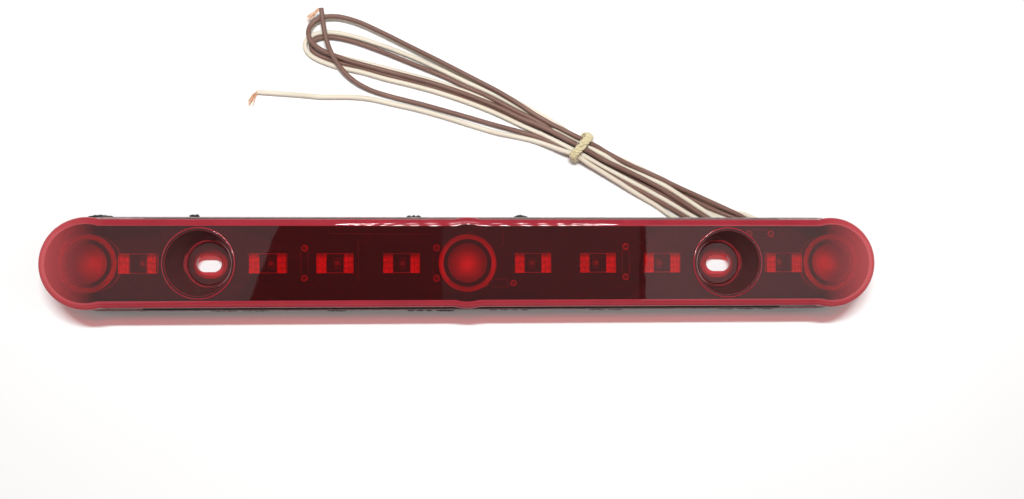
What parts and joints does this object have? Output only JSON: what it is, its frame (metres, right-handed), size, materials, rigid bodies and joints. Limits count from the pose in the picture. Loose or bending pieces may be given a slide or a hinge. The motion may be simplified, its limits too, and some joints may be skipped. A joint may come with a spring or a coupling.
{
  "type": "third brake light",
  "caption": "Slim bar lamp: a clear red lens with round and oblong optics over a circuit board, slotted mounting wells, a flanged black housing and a folded lead held by a tie.",
  "frame": {"origin": "middle of the lamp's back face, which lies on z = 0", "axes": "+X along the lamp, towards the side that the folded lead runs under; +Y across the lamp, towards the free ends of the lead; +Z out of the lens"},
  "size_m": [0.381, 0.1452, 0.0271],
  "materials": {
    "lens": "clear red, polished",
    "housing": "glossy black",
    "sealant": "satin black, uneven",
    "board": "black solder mask",
    "led": "clear dome on a pale package",
    "resistor": "tan lacquer",
    "diode": "black moulded body",
    "grommet": "matt black rubber",
    "brown_wire": "satin brown insulation",
    "white_wire": "satin off-white insulation",
    "tie": "twisted paper string",
    "copper": "bright stranded copper"
  },
  "bodies": {
    "root": {"lens": "lens", "housing": "housing", "seal_bead": "sealant", "circuit_board": "board", "main_led_left": "led", "main_led_centre": "led", "main_led_right": "led", "small_led_1": "led", "small_led_2": "led", "small_led_3": "led", "small_led_4": "led", "small_led_5": "led", "small_led_6": "led", "small_led_7": "led", "small_led_8": "led", "resistor_left": "resistor", "resistor_centre": "resistor", "resistor_right": "resistor", "diode_centre": "diode", "diode_right": "diode", "lead_grommet": "grommet", "brown_inner_lead": "brown_wire", "white_inner_lead": "white_wire", "lead_hank": "brown_wire", "brown_lead_end": "brown_wire", "white_lead_end": "white_wire", "brown_strands": "copper", "white_strands": "copper", "lead_tie": "tie"}
  },
  "joints": []
}
